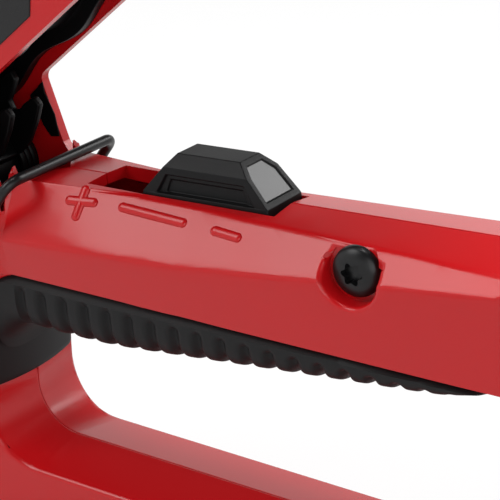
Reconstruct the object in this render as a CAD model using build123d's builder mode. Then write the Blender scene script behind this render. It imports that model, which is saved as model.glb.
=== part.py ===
from build123d import *
import os
from math import asin, atan, cos, degrees, radians, sin, tan

# Hand staple gun with a leaf spring drive, an adjustable fulcrum and a rear-loading magazine.
# Frame: origin at the staple exit on the work face. +X runs back to the heel, -Y is the
# tool's left side and +Z is up. The hand lever stands open. Millimetres and degrees.

os.makedirs("parts", exist_ok=True)

# Fits
run_fit = 0.05
slide_fit = 0.2
seat_fit = 0.1
lift_play = 0.6
side_play = 0.5
wall = 2.2

# Top deck of the upper bar
deck_x = 93.0
deck_height = 84.0
deck_tilt = 3.36
deck_half = 8.7
deck_spread = 0.0714
deck_crown = 1.04
deck_crown_growth = 0.0165
deck_flare = 0.194
deck_front = 43.2
deck_round = 2.0
deck_turn = 15.0

# Casing
head_front = -7.6
head_chamfer = 5.6
head_half = 15.0
head_front_half = 11.0
head_rear = 31.0
head_rise = 9.0
head_top = deck_height + head_rise
head_draft = 0.6
head_mid_draft = 0.2
hood_rear = 8.0
ear_rise = 2.0
ear_top = deck_height + ear_rise
ear_rear = 26.5
ear_foot_x = 33.0
ear_foot_drop = 6.2
ear_foot = deck_height - ear_foot_drop
ear_end = 38.0
nose_front = -3.6
nose_shoulder = 20.0
casing_bottom = 1.0
bar_front = 38.0
bar_flare = 64.0
bar_middle = 78.0
bar_rear = 141.0
bar_end = 170.0
crease_half = 15.0
crease_front_drop = 14.2
crease_middle_drop = 10.9
crease_rear_drop = 1.9
crease_end_rise = 1.3
crease_front = deck_height - crease_front_drop
crease_middle = deck_height - crease_middle_drop
crease_rear = deck_height - crease_rear_drop
crease_end = deck_height + crease_end_rise
bar_lower_half = 13.0
bar_depth = 21.8
bar_bottom_x = 43.0
bar_bottom_front = deck_height - bar_depth
bar_bottom_rise = 0.018
heel_top = 168.0
heel_bottom = 158.5
casing_edge = 2.0
casing_corner = 3.0
brow_corner = 9.0
heel_corner = 12.0
rail_half = 13.7
rail_top = 24.0
rail_crown = 2.2
rail_draft = 0.3

# Finger opening
finger_front = 33.0
finger_rear_top = 151.0
finger_rear_bottom = 144.0
finger_corner = 10.0
finger_heel_corner = 7.5
grip_recess = 2.4
grip_foot_drop = 26.2
grip_foot = bar_bottom_front - grip_foot_drop

# Hand lever
lever_pivot_x = 21.0
lever_pivot_drop = 8.0
lever_pivot_z = deck_height - lever_pivot_drop
lever_swing = 37.84
lever_half = 12.6
lever_wall = 2.1
lever_web = 2.2
lever_elbow_x = 37.8
lever_elbow_rise = 10.0
lever_elbow_z = lever_pivot_z + lever_elbow_rise
lever_length = 112.0
lever_depth_front = 19.0
lever_depth_rear = 14.0
lever_hub = 9.0
neck_rear = 34.0
neck_elbow_drop = 3.4
neck_elbow_z = lever_pivot_z - neck_elbow_drop
neck_front_rise = 4.0
neck_front_z = lever_pivot_z + neck_front_rise
neck_edge = 2.0
neck_corner = 4.0
neck_front_corner = 6.0
neck_end = 37.0
mouth_half = 8.8
mouth_x = 38.3
mouth_bend_half = 3.9
mouth_bend_x = 40.4
brow_x = 22.0
brow_rise = 20.0
brow_z = lever_pivot_z + brow_rise
brow_u = -8.0
lever_end_corner = 9.0
pin_radius = 3.0
pin_head_radius = 4.2
pin_head_height = 1.6

# Lever grip pad, liner and lock hook
pad_sink = 0.6
pad_proud = 0.3
pad_start = -4.0
pad_step = 26.0
pad_end = 100.0
pad_low = 3.3
pad_high = 8.5
liner_start = 6.0
liner_end = 104.0
liner_low = 1.0
liner_high = 9.0
liner_groove_half = 7.3
liner_groove_top = 4.6
hook_half = 5.0
hook_lip_end = 39.4
hook_lip_rise = 5.0
hook_lip_top = lever_pivot_z + hook_lip_rise
hook_plate = 1.8
hook_back = 31.0
hook_notch_rise = 11.0
hook_notch_top = lever_pivot_z + hook_notch_rise

# Lifter and driver
lifter_half = 2.8
lifter_tip = 3.0
lifter_hub = 6.0
lifter_tail = 12.0
driver_thickness = 1.6
driver_half = 8.6
blade_half = 5.9
driver_bottom = 1.0
driver_shoulder = 40.0
driver_head = 3.0
bumper_height = 6.2
bumper_front = -4.6
bumper_rear = 5.5
bumper_half = 8.8
nose_plate_thickness = 2.4
nose_plate_half = 9.6
guide_low = 41.0
guide_high = 58.0
guide_reach = 7.6
guide_depth = 3.2

# Leaf springs, their seat and the movable fulcrum
leaf_thickness = 1.4
leaf_half = 5.5
leaf_depth = 13.2
leaf_bend_x = 60.0
leaf_radius = 194.0
leaf_rear = 122.0
leaf_tip = -0.5
leaf_neck = 5.0
leaf_neck_half = 2.9
leaf_second_front = 22.0
leaf_third_front = 40.0
seat_length = 12.0
seat_half = 8.0
slot_front = 52.0
slot_half = 6.0
slot_depth = 6.0
slider_front = 64.5
slider_rear = 91.5
slider_half = 5.75
slider_side_height = 5.0
slider_height = 7.3
slider_side_half = 5.2
slider_top_half = 3.2
slider_side_front = 69.0
slider_side_rear = 87.0
slider_top_front = 71.0
slider_top_rear = 84.5
slider_shoulder = 1.0
flange_front = 60.0
flange_rear = 97.0
flange_half = 8.0
flange_depth = 6.4
flange_thickness = 1.8
shoe_front = 72.0
shoe_rear = 86.0

# Lock bail
bail_radius = 1.05
bail_pivot_x = 30.0
bail_pivot_drop = 10.0
bail_pivot_z = lever_pivot_z - bail_pivot_drop
bail_bar_x = 41.5
bail_bar_rise = 16.3
bail_bar_z = bail_pivot_z + bail_bar_rise
bail_half = 16.3
bail_corner = 3.0
bail_foot_corner = 1.2

# Rubber grip
grip_half = 13.0
grip_floor_half = 8.5
grip_waist_drop = 4.2
grip_waist = bar_bottom_front - grip_waist_drop
grip_floor_drop = 14.2
grip_floor = bar_bottom_front - grip_floor_drop
grip_end = 141.0
grip_pitch = 5.1
grip_rib = 3.3
grip_groove = 1.0
grip_first = 40.0
grip_ribs = 19
grip_band = 3.0
grip_depth = 12.4
grip_bottom_front = bar_bottom_front - grip_depth
grip_bottom_x = 58.0
grip_taper_x = 130.5
grip_taper_drop = 2.5
grip_taper_z = bar_bottom_front - grip_taper_drop
grip_toe_corner = 7.0
grip_sweep = 30.0
grip_tail_corner = 20.0

# Magazine
channel_front = 1.0
channel_rear = 157.0
channel_half = 7.2
channel_low = 0.8
channel_high = 14.2
channel_wall = 1.0
staple_half = 5.6
staple_wire = 0.7
staple_crown = 1.1
staple_low = 2.2
staple_high = 12.4
strip_front = 1.2
strip_length = 50.0
core_half = 4.7
core_wall = 1.0
core_low = 3.2
core_plug = 7.0
core_front = 2.0
rod_radius = 1.2
rod_height = 6.6
pusher_length = 10.0
pusher_plate = 1.0
spring_outer = 2.6
spring_inner = 1.6
cap_gap = 0.3
cap_rear = 170.0
cap_half = 11.0
cap_high = 20.0
cap_corner = 4.0
cap_edge = 1.0
rib_thickness = 2.0
rib_places = (40.0, 68.0, 96.0, 124.0, 150.0)

# Casing screws: place and how far the bosses stop from the middle plane
screw_head_radius = 4.6
screw_head_height = 2.6
screw_seat_radius = 5.5
screw_seat_y = -10.6
screw_radius = 2.3
screw_hole_radius = 2.6
screw_end = 10.5
boss_radius = 4.5
deck_screw_drop = 4.8
heel_screw_drop = 12.0
deck_screw = (112.8, deck_height - deck_screw_drop)
heel_screw = (157.0, deck_height - heel_screw_drop)
screw_places = (deck_screw, (20.0, 48.0), (23.0, 29.0), heel_screw, (152.5, 34.0))

# Lever return spring
coil_inner = 6.4
coil_outer = 7.8
coil_start = 3.6
coil_end = 9.6


def deck_z(x):
    return deck_height + (x - deck_x) * tan(radians(deck_tilt))


def deck_edge(x):
    return deck_half + (x - deck_x) * deck_spread + max(0, bar_flare - x) * deck_flare


def bar_bottom(x):
    return bar_bottom_front + (x - bar_bottom_x) * bar_bottom_rise


def deck_plane(depth):
    """Plane parallel to the deck, that far below it, with local x along the deck."""
    lean = radians(deck_tilt)
    up = Vector(-sin(lean), 0, cos(lean))
    return Plane(Vector(deck_x, 0, deck_height) - up * depth, (cos(lean), 0, sin(lean)), up)


def along_deck(x):
    return (x - deck_x) / cos(radians(deck_tilt))


def deck_block(x0, x1, half, depth, thickness, mode=Mode.ADD):
    """Block between two places along the deck, its top that deep below the deck."""
    with BuildSketch(deck_plane(depth)) as plan:
        with Locations(((along_deck(x0) + along_deck(x1)) / 2, 0)):
            Rectangle(along_deck(x1) - along_deck(x0), 2 * half)
    extrude(plan.sketch, amount=-thickness, mode=mode)


def block(x0, x1, y0, y1, z0, z1, mode=Mode.ADD):
    """Block between two corners."""
    with Locations(((x0 + x1) / 2, (y0 + y1) / 2, (z0 + z1) / 2)):
        Box(x1 - x0, y1 - y0, z1 - z0, mode=mode)


def side_plane(y):
    """Upright plane at that y, seen from the tool's left side."""
    return Plane((0, y, 0), (1, 0, 0), (0, -1, 0))


def cross_bar(x, z, radius, y0, y1, mode=Mode.ADD):
    """Round bar across the tool, from y0 to the larger y1."""
    with BuildSketch(side_plane(y1)) as round_end:
        with Locations((x, z)):
            Circle(radius)
    extrude(round_end.sketch, amount=y1 - y0, mode=mode)


def side_face(points, radii, mode=Mode.ADD):
    """Closed outline in the side view with a radius at each corner."""
    with BuildLine() as outline:
        FilletPolyline(*points, radius=radii, close=True)
    make_face(outline.line, mode=mode)


# Casing envelope: cross sections along the tool, joined by flat facets


def half_section(x, inset):
    """Right half of a cross section, from the top middle down to the bottom."""
    if x <= head_rear:
        half = head_front_half if x < head_front + head_chamfer else head_half
        half -= inset
        return [
            (0, head_top + 2 * wall),
            (half - head_draft, head_top + wall),
            (half, crease_front),
            (half - head_mid_draft, bar_bottom_front),
            (half - head_draft, rail_top - rail_crown),
            (half - 2 * head_draft, 0),
        ]
    flare_share = (bar_flare - bar_front) / (bar_middle - bar_front)
    crease_heights = {
        bar_front: crease_front,
        bar_flare: crease_front + (crease_middle - crease_front) * flare_share,
        bar_middle: crease_middle,
        bar_rear: crease_rear,
        bar_end: crease_end,
    }
    edge = deck_edge(x)
    crown = deck_crown + (x - deck_x) * deck_crown_growth
    edge_inset = inset * (crease_half - edge) / crease_half
    return [
        (0, deck_z(x) - inset),
        (edge - edge_inset, deck_z(x) - crown - inset),
        (crease_half - inset, crease_heights[x]),
        (bar_lower_half - inset, bar_bottom(x)),
        (rail_half - inset, rail_top - rail_crown),
        (rail_half - rail_draft - inset, 0),
    ]


def envelope(inset):
    """Sections lofted along the tool, as the pending shape of the open part."""
    head_stations = (head_front, head_front + head_chamfer, head_rear)
    bar_stations = (bar_front, bar_flare, bar_middle, bar_rear, bar_end)
    sections = []
    for x in head_stations + bar_stations:
        right = half_section(x, inset)
        left = [(-y, z) for y, z in reversed(right[1:])]
        with BuildSketch(Plane.YZ.offset(x)) as section:
            with BuildLine():
                Polyline(*right, *left, close=True)
            make_face()
        sections.append(section.sketch)
    loft(sections, ruled=True)


def casing_outline():
    """Side view of the casing without its finger opening."""
    side_face(
        [
            (nose_front, casing_bottom),
            (nose_front, nose_shoulder),
            (head_front, nose_shoulder - head_front + nose_front),
            (head_front, head_top),
            (hood_rear, head_top),
            (hood_rear, ear_top),
            (ear_rear, ear_top),
            (ear_foot_x, ear_foot),
            (ear_end, ear_top),
            (bar_rear, head_top),
            (heel_top, head_top),
            (heel_bottom, casing_bottom),
        ],
        [
            0, casing_edge, casing_corner, brow_corner, casing_corner,
            casing_edge, casing_corner, casing_edge, 0, 0, heel_corner, casing_corner,
        ],
    )


def finger_outline(mode):
    """Finger opening in the casing, with the recess that the rubber grip fills."""
    side_face(
        [
            (finger_front, rail_top),
            (finger_front, grip_foot),
            (finger_front - grip_recess, grip_foot),
            (finger_front - grip_recess, bar_bottom(finger_front)),
            (finger_rear_top, bar_bottom(finger_rear_top)),
            (finger_rear_bottom, rail_top),
        ],
        [finger_corner, 0, 0, finger_corner, finger_heel_corner, finger_heel_corner],
        mode,
    )


def finger_crown(grow):
    """Cuts the finger opening wider towards both sides, so that its faces are crowned.

    The walls start grow outside the opening's outline on the middle plane."""
    crown_angle = degrees(atan(rail_crown / rail_half))
    top = grip_recess - grow
    for side in (1, -1):
        with BuildSketch(Plane((0, 0, 0), (1, 0, 0), (0, -side, 0))) as opening:
            side_face(
                [
                    (finger_front - grow, side * (rail_top - grow)),
                    (finger_front - grow, side * (bar_bottom(finger_front) - top)),
                    (finger_rear_top + grow, side * (bar_bottom(finger_rear_top) - top)),
                    (finger_rear_bottom + grow, side * (rail_top - grow)),
                ],
                [finger_corner, finger_corner, finger_heel_corner, finger_heel_corner],
            )
        extrude(opening.sketch, amount=head_half + wall, taper=-crown_angle, mode=Mode.SUBTRACT)


def is_deck_edge(edge):
    middle = edge.center()
    run = edge.end_point() - edge.start_point()
    on_edge = abs(abs(middle.Y) - deck_edge(middle.X)) < seat_fit
    return on_edge and middle.X > bar_flare and abs(run.X) > cos(radians(deck_turn)) * run.length


with BuildPart() as casing_outer:
    envelope(0)
    with BuildSketch(Plane.XZ):
        casing_outline()
    extrude(amount=2 * head_half, both=True, mode=Mode.INTERSECT)
    fillet([edge for edge in casing_outer.edges() if is_deck_edge(edge)], deck_round)
    with BuildSketch(Plane.XZ):
        finger_outline(Mode.ADD)
    extrude(amount=2 * head_half, both=True, mode=Mode.SUBTRACT)
    finger_crown(0)

bumper_low = driver_shoulder - slide_fit - bumper_height
rib_half = rib_thickness / 2

with BuildPart() as casing_posts:
    # Guide posts that hold the driver's edges, and the shelf under the bumper
    for side in (-1, 1):
        outer, inner = side * head_half, side * guide_reach
        y0, y1 = min(outer, inner), max(outer, inner)
        block(-guide_depth, guide_depth, y0, y1, guide_low, guide_high)
        ledge = side * (blade_half + slide_fit)
        y0, y1 = min(outer, ledge), max(outer, ledge)
        block(nose_front, bumper_rear, y0, y1, bumper_low - wall, bumper_low - seat_fit)
    # Ribs that hold the magazine channel
    for x in rib_places:
        block(x - rib_half, x + rib_half, -head_half, head_half, 0, rail_top)
    # Screw bosses, with the seat for each head on the left
    for x, z in screw_places:
        stop = seat_half + slide_fit if (x, z) == deck_screw else 0
        cross_bar(x, z, boss_radius, stop, head_half)
        cross_bar(x, z, screw_seat_radius + wall, -head_half, screw_seat_y + wall)
        if stop == 0:
            cross_bar(x, z, boss_radius, screw_seat_y, 0)

with BuildPart() as cavity:
    envelope(wall)
    with BuildSketch(Plane.XZ):
        casing_outline()
        finger_outline(Mode.SUBTRACT)
        offset(amount=-wall, kind=Kind.INTERSECTION)
    extrude(amount=2 * head_half, both=True, mode=Mode.INTERSECT)
    finger_crown(wall)
    add(casing_posts.part, mode=Mode.SUBTRACT)

driver_gap = driver_thickness / 2 + slide_fit
blade_room = blade_half + slide_fit
plate_front = -driver_gap - nose_plate_thickness
lever_room = lever_half + side_play

with BuildPart() as casing_cuts:
    # Opening for the lever's neck, and the lifter's way under the hood
    neck_floor = bar_bottom_front
    block(hood_rear, neck_end, -lever_room, lever_room, neck_floor, 2 * head_top)
    with BuildSketch(Plane.XY.offset(neck_floor)) as mouth:
        Polygon(
            (hood_rear, -mouth_half),
            (mouth_x, -mouth_half),
            (mouth_bend_x, -mouth_bend_half),
            (deck_front, 0),
            (mouth_bend_x, mouth_bend_half),
            (mouth_x, mouth_half),
            (hood_rear, mouth_half),
            align=None,
        )
    extrude(mouth.sketch, amount=2 * head_top)
    lifter_room = lifter_half + slide_fit
    block(0, hood_rear + wall, -lifter_room, lifter_room, neck_floor, ear_top + lifter_tip)
    # Driver track, nose plate seat and magazine slot
    track_half = driver_half + slide_fit
    block(-driver_gap, driver_gap, -track_half, track_half, driver_shoulder, head_top - wall)
    block(-driver_gap, driver_gap, -blade_room, blade_room, 0, driver_shoulder)
    plate_room = nose_plate_half + seat_fit
    block(2 * nose_front, -driver_gap, -plate_room, plate_room, 0, nose_shoulder)
    block(plate_front - seat_fit, -driver_gap, -plate_room, plate_room, 0, bumper_low)
    slot_room = channel_half + seat_fit
    block(-driver_gap, 2 * heel_top, -slot_room, slot_room, 0, channel_high + seat_fit)
    # Slot for the power slider
    deck_block(slot_front, deck_x, slot_half, -slot_depth, 2 * slot_depth)
    # Lever pin and bail pivots
    cross_bar(lever_pivot_x, lever_pivot_z, pin_radius, -2 * head_half, 2 * head_half)
    bail_hole = bail_radius + run_fit
    cross_bar(bail_pivot_x, bail_pivot_z, bail_hole, -2 * head_half, 2 * head_half)
    # Screw seats and holes
    for x, z in screw_places:
        cross_bar(x, z, screw_seat_radius, -2 * head_half, screw_seat_y)
        cross_bar(x, z, screw_hole_radius, -head_half, 0)
        cross_bar(x, z, screw_radius + run_fit, 0, screw_end + seat_fit)

with BuildPart() as casing:
    add(casing_outer.part)
    add(cavity.part, mode=Mode.SUBTRACT)
    add(casing_cuts.part, mode=Mode.SUBTRACT)

# The two half shells meet on the middle plane

with BuildPart() as left_shell:
    add(casing.part)
    split(bisect_by=Plane.XZ, keep=Keep.TOP)
left_shell.part.label = "left_shell"
export_step(left_shell.part, "parts/left_shell.step")

with BuildPart() as right_shell:
    add(casing.part)
    split(bisect_by=Plane.XZ, keep=Keep.BOTTOM)
right_shell.part.label = "right_shell"
export_step(right_shell.part, "parts/right_shell.step")

# Drive train

lever_lean = radians(lever_swing)
lever_pivot = (lever_pivot_x, 0, lever_pivot_z)
lever_plane = Plane(lever_pivot, (cos(lever_lean), 0, sin(lever_lean)), (0, -1, 0))
lifter_reach = lever_pivot_x
lifter_half_swing = radians(lever_swing / 2)
lifter_tip_x = -lifter_reach * cos(lifter_half_swing)
lifter_tip_z = lifter_reach * sin(lifter_half_swing)
tip_rest_z = lever_pivot_z - lifter_tip_z


def from_pivot(x, z):
    """Point of the closed lever in the lever's own plane."""
    return (x - lever_pivot_x, z - lever_pivot_z)


def along_lever(u, v):
    """Point u along the lever's rim from its elbow and v above the rim."""
    lean = radians(deck_tilt)
    x = lever_elbow_x + u * cos(lean) - v * sin(lean)
    z = lever_elbow_z + u * sin(lean) + v * cos(lean)
    return from_pivot(x, z)


def leaf_point(x, rise):
    """Point of the leaf pack's middle line at x, moved out by rise."""
    lean = radians(deck_tilt)
    if x >= leaf_bend_x:
        return (x, deck_z(x) - (leaf_depth - rise) / cos(lean))
    bend_z = deck_z(leaf_bend_x) - leaf_depth / cos(lean)
    centre_x = leaf_bend_x + leaf_radius * sin(lean)
    centre_z = bend_z - leaf_radius * cos(lean)
    turn = asin((centre_x - x) / (leaf_radius + rise))
    return (x, centre_z + (leaf_radius + rise) * cos(turn))


def leaf(front, layer):
    """One leaf of the pack, layer steps above the middle one."""
    low = layer * leaf_thickness - leaf_thickness / 2
    high = low + leaf_thickness
    middle = (front + leaf_bend_x) / 2
    bend_top = leaf_point(leaf_bend_x, high)
    bend_bottom = leaf_point(leaf_bend_x, low)
    with BuildSketch(Plane.XZ) as edge_view:
        with BuildLine():
            Line(leaf_point(leaf_rear, high), bend_top)
            ThreePointArc(bend_top, leaf_point(middle, high), leaf_point(front, high))
            Line(leaf_point(front, high), leaf_point(front, low))
            ThreePointArc(leaf_point(front, low), leaf_point(middle, low), bend_bottom)
            Line(bend_bottom, leaf_point(leaf_rear, low))
            Line(leaf_point(leaf_rear, low), leaf_point(leaf_rear, high))
        make_face()
    extrude(edge_view.sketch, amount=leaf_half, both=True)


with BuildPart() as main_leaf:
    leaf(leaf_tip, -1)
    for side in (-1, 1):
        near, far = side * leaf_neck_half, side * 2 * leaf_half
        block(2 * leaf_tip, leaf_neck, min(near, far), max(near, far), 0, head_top, Mode.SUBTRACT)
main_leaf.part.label = "main_leaf_spring"
export_step(main_leaf.part, "parts/main_leaf_spring.step")

with BuildPart() as second_leaf:
    leaf(leaf_second_front, 0)
second_leaf.part.label = "second_leaf_spring"
export_step(second_leaf.part, "parts/second_leaf_spring.step")

with BuildPart() as third_leaf:
    leaf(leaf_third_front, 1)
third_leaf.part.label = "third_leaf_spring"
export_step(third_leaf.part, "parts/third_leaf_spring.step")

pack_half = 3 * leaf_thickness / 2
seat_front = deck_screw[0] - seat_length / 2
seat_rear = deck_screw[0] + seat_length / 2
seat_slope = cos(radians(deck_tilt))
seat_top_depth = (deck_z(deck_screw[0]) - deck_screw[1]) * seat_slope + screw_radius + seat_fit
seat_bottom_depth = (deck_z(seat_front) - bar_bottom(seat_front) - wall) * seat_slope - seat_fit

with BuildPart() as leaf_seat:
    deck_block(seat_front, seat_rear, seat_half, seat_top_depth, seat_bottom_depth - seat_top_depth)
    window_top = leaf_depth - pack_half - seat_fit
    window_height = 2 * (pack_half + seat_fit)
    window_half = leaf_half + slide_fit
    deck_block(seat_front, seat_rear, window_half, window_top, window_height, Mode.SUBTRACT)
leaf_seat.part.label = "leaf_seat"
export_step(leaf_seat.part, "parts/leaf_seat.step")

with BuildPart() as fulcrum_shoe:
    shoe_top = flange_depth + flange_thickness
    shoe_bottom = leaf_depth - pack_half - seat_fit
    deck_block(shoe_front, shoe_rear, leaf_half, shoe_top, shoe_bottom - shoe_top)
fulcrum_shoe.part.label = "fulcrum_shoe"
export_step(fulcrum_shoe.part, "parts/fulcrum_shoe.step")


def slider_section(height, x0, x1, half):
    with BuildSketch(deck_plane(-height)) as section:
        with Locations(((along_deck(x0) + along_deck(x1)) / 2, 0)):
            Rectangle(along_deck(x1) - along_deck(x0), 2 * half)
    return section.sketch


with BuildPart() as power_slider:
    loft(
        [
            slider_section(slider_shoulder, slider_front, slider_rear, slider_half),
            slider_section(slider_side_height, slider_side_front, slider_side_rear, slider_side_half),
            slider_section(slider_height, slider_top_front, slider_top_rear, slider_top_half),
        ],
        ruled=True,
    )
    deck_block(slider_front, slider_rear, slider_half, -slider_shoulder, slider_shoulder + flange_depth)
    deck_block(flange_front, flange_rear, flange_half, flange_depth, flange_thickness)
power_slider.part.label = "power_slider"
export_step(power_slider.part, "parts/power_slider.step")

with BuildPart() as driver:
    half_thickness = driver_thickness / 2
    driver_top = tip_rest_z + lifter_tip + lift_play + driver_head
    block(-half_thickness, half_thickness, -blade_half, blade_half, driver_bottom, driver_shoulder)
    block(-half_thickness, half_thickness, -driver_half, driver_half, driver_shoulder, driver_top)
    lifter_window = lifter_half + slide_fit
    window_half = lifter_tip + lift_play
    block(
        -half_thickness, half_thickness, -lifter_window, lifter_window,
        tip_rest_z - window_half, tip_rest_z + window_half, Mode.SUBTRACT,
    )
    tip_high = leaf_point(half_thickness, -leaf_thickness / 2)[1] + slide_fit
    tip_low = leaf_point(-half_thickness, -pack_half)[1] - slide_fit
    tip_window = leaf_neck_half + slide_fit
    block(
        -half_thickness, half_thickness, -tip_window, tip_window,
        tip_low, tip_high, Mode.SUBTRACT,
    )
driver.part.label = "driver"
export_step(driver.part, "parts/driver.step")

with BuildPart() as bumper:
    block(bumper_front, bumper_rear, -bumper_half, bumper_half, bumper_low, bumper_low + bumper_height)
    block(-driver_gap, driver_gap, -blade_room, blade_room, 0, driver_shoulder, Mode.SUBTRACT)
bumper.part.label = "bumper"
export_step(bumper.part, "parts/bumper.step")

with BuildPart() as nose_plate:
    block(plate_front, -driver_gap, -nose_plate_half, nose_plate_half, 0, bumper_low - seat_fit)
nose_plate.part.label = "nose_plate"
export_step(nose_plate.part, "parts/nose_plate.step")

# Hand lever, modelled lying closed in the lever's plane, which stands open


def lever_outline():
    """Side view of the lever: neck, hub and tapering handle."""
    side_face(
        [
            along_lever(0, 0),
            from_pivot(neck_rear, neck_elbow_z),
            from_pivot(neck_rear, lever_pivot_z - lever_hub),
            from_pivot(lever_pivot_x - lever_hub, lever_pivot_z - lever_hub),
            from_pivot(lever_pivot_x - lever_hub, neck_front_z),
            from_pivot(brow_x, brow_z),
            along_lever(brow_u, lever_depth_front),
            along_lever(lever_length, lever_depth_rear),
            along_lever(lever_length, 0),
        ],
        [
            neck_edge, neck_edge, neck_corner, lever_hub - seat_fit, neck_front_corner,
            neck_corner, neck_front_corner, lever_end_corner, neck_corner,
        ],
    )


with BuildPart() as lever_grip:
    with BuildSketch(lever_plane):
        lever_outline()
        offset(amount=pad_proud, kind=Kind.ARC)
        with BuildLine() as pad_edge:
            Polyline(
                along_lever(pad_start, pad_low),
                along_lever(pad_step, pad_low),
                along_lever(pad_step + pad_high - pad_low, pad_high),
                along_lever(pad_end, pad_high),
                along_lever(pad_end, 2 * lever_depth_front),
                along_lever(pad_start, 2 * lever_depth_front),
                close=True,
            )
        make_face(pad_edge.line, mode=Mode.INTERSECT)
    extrude(amount=lever_half + pad_proud, both=True)
    with BuildSketch(lever_plane):
        lever_outline()
        offset(amount=-pad_sink, kind=Kind.ARC)
    extrude(amount=lever_half - pad_sink, both=True, mode=Mode.SUBTRACT)
lever_grip.part.label = "lever_grip"
export_step(lever_grip.part, "parts/lever_grip.step")

with BuildPart() as lever:
    with BuildSketch(lever_plane):
        lever_outline()
    extrude(amount=lever_half, both=True)
    with BuildSketch(lever_plane):
        with BuildLine():
            Polyline(
                along_lever(lever_length - lever_web, -lever_length),
                along_lever(lever_length - lever_web, lever_depth_rear - lever_web),
                along_lever(brow_u + lever_web, lever_depth_front - lever_web),
                from_pivot(brow_x + lever_web, brow_z - lever_web),
                from_pivot(-lever_length, brow_z - lever_web),
                from_pivot(-lever_length, -lever_length),
                close=True,
            )
        make_face()
    extrude(amount=lever_half - lever_wall, both=True, mode=Mode.SUBTRACT)
    pin_bore = pin_radius + run_fit
    cross_bar(lever_pivot_x, lever_pivot_z, pin_bore, -head_half, head_half, Mode.SUBTRACT)
    add(lever_grip.part, mode=Mode.SUBTRACT)
lever.part.label = "lever"
export_step(lever.part, "parts/lever.step")

lever_inside = lever_half - lever_wall - seat_fit

with BuildPart() as lever_liner:
    with BuildSketch(lever_plane):
        with BuildLine():
            Polyline(
                along_lever(liner_start, liner_low),
                along_lever(liner_end, liner_low),
                along_lever(liner_end, liner_high),
                along_lever(liner_start, liner_high),
                close=True,
            )
        make_face()
    extrude(amount=lever_inside, both=True)
    with BuildSketch(lever_plane):
        with BuildLine():
            Polyline(
                along_lever(0, 0),
                along_lever(lever_length, 0),
                along_lever(lever_length, liner_groove_top),
                along_lever(0, liner_groove_top),
                close=True,
            )
        make_face()
    extrude(amount=liner_groove_half, both=True, mode=Mode.SUBTRACT)
lever_liner.part.label = "lever_liner"
export_step(lever_liner.part, "parts/lever_liner.step")

with BuildPart() as lock_hook:
    with BuildSketch(lever_plane):
        with BuildLine():
            Polyline(
                from_pivot(hook_back, lever_pivot_z),
                from_pivot(hook_back + hook_plate, lever_pivot_z),
                from_pivot(hook_back + hook_plate, hook_notch_top),
                from_pivot(lever_elbow_x, hook_notch_top),
                from_pivot(lever_elbow_x, hook_notch_top + hook_plate),
                from_pivot(hook_back, hook_notch_top + hook_plate),
                close=True,
            )
        make_face()
    extrude(amount=lever_inside, both=True)
    with BuildSketch(lever_plane):
        with BuildLine():
            Polyline(
                from_pivot(hook_back, hook_lip_top - hook_plate),
                from_pivot(hook_lip_end, hook_lip_top - hook_plate),
                from_pivot(hook_lip_end, hook_lip_top),
                from_pivot(hook_back, hook_lip_top),
                close=True,
            )
        make_face()
    extrude(amount=hook_half, both=True)
lock_hook.part.label = "lock_hook"
export_step(lock_hook.part, "parts/lock_hook.step")

tail_x = hook_back - seat_fit - lifter_tip - lever_pivot_x

with BuildPart() as lifter:
    with BuildSketch(lever_plane):
        Circle(lifter_hub)
    extrude(amount=lever_inside, both=True)
    for reach_x, reach_z in ((lifter_tip_x, lifter_tip_z), (tail_x, lifter_tail)):
        with BuildSketch(lever_plane) as arm_view:
            Circle(lifter_hub)
            with Locations((reach_x, reach_z)):
                Circle(lifter_tip)
            make_hull()
        extrude(amount=lifter_half, both=True)
    cross_bar(lever_pivot_x, lever_pivot_z, pin_bore, -head_half, head_half, Mode.SUBTRACT)
lifter.part.label = "lifter"
export_step(lifter.part, "parts/lifter.step")

with BuildPart() as pivot_pin:
    pin_end = head_half + seat_fit
    cross_bar(lever_pivot_x, lever_pivot_z, pin_radius, -pin_end, pin_end)
    cross_bar(lever_pivot_x, lever_pivot_z, pin_head_radius, pin_end, pin_end + pin_head_height)
    cross_bar(lever_pivot_x, lever_pivot_z, pin_head_radius, -pin_end - pin_head_height, -pin_end)
pivot_pin.part.label = "pivot_pin"
export_step(pivot_pin.part, "parts/pivot_pin.step")

with BuildPart() as return_spring:
    cross_bar(lever_pivot_x, lever_pivot_z, coil_outer, coil_start, coil_end)
    cross_bar(lever_pivot_x, lever_pivot_z, coil_inner, coil_start, coil_end, Mode.SUBTRACT)
return_spring.part.label = "return_spring"
export_step(return_spring.part, "parts/return_spring.step")

# Lock bail: one bent wire with its ends turned into the casing

with BuildPart() as lock_bail:
    with BuildLine() as bail_path:
        FilletPolyline(
            (bail_pivot_x, -lever_room, bail_pivot_z),
            (bail_pivot_x, -bail_half, bail_pivot_z),
            (bail_bar_x, -bail_half, bail_bar_z),
            (bail_bar_x, bail_half, bail_bar_z),
            (bail_pivot_x, bail_half, bail_pivot_z),
            (bail_pivot_x, lever_room, bail_pivot_z),
            radius=[bail_foot_corner, bail_corner, bail_corner, bail_foot_corner],
        )
    with BuildSketch(Plane(bail_path.line @ 0, z_dir=bail_path.line % 0)):
        Circle(bail_radius)
    sweep()
lock_bail.part.label = "lock_bail"
export_step(lock_bail.part, "parts/lock_bail.step")

# Rubber grip under the bar and down the front of the finger opening


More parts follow.
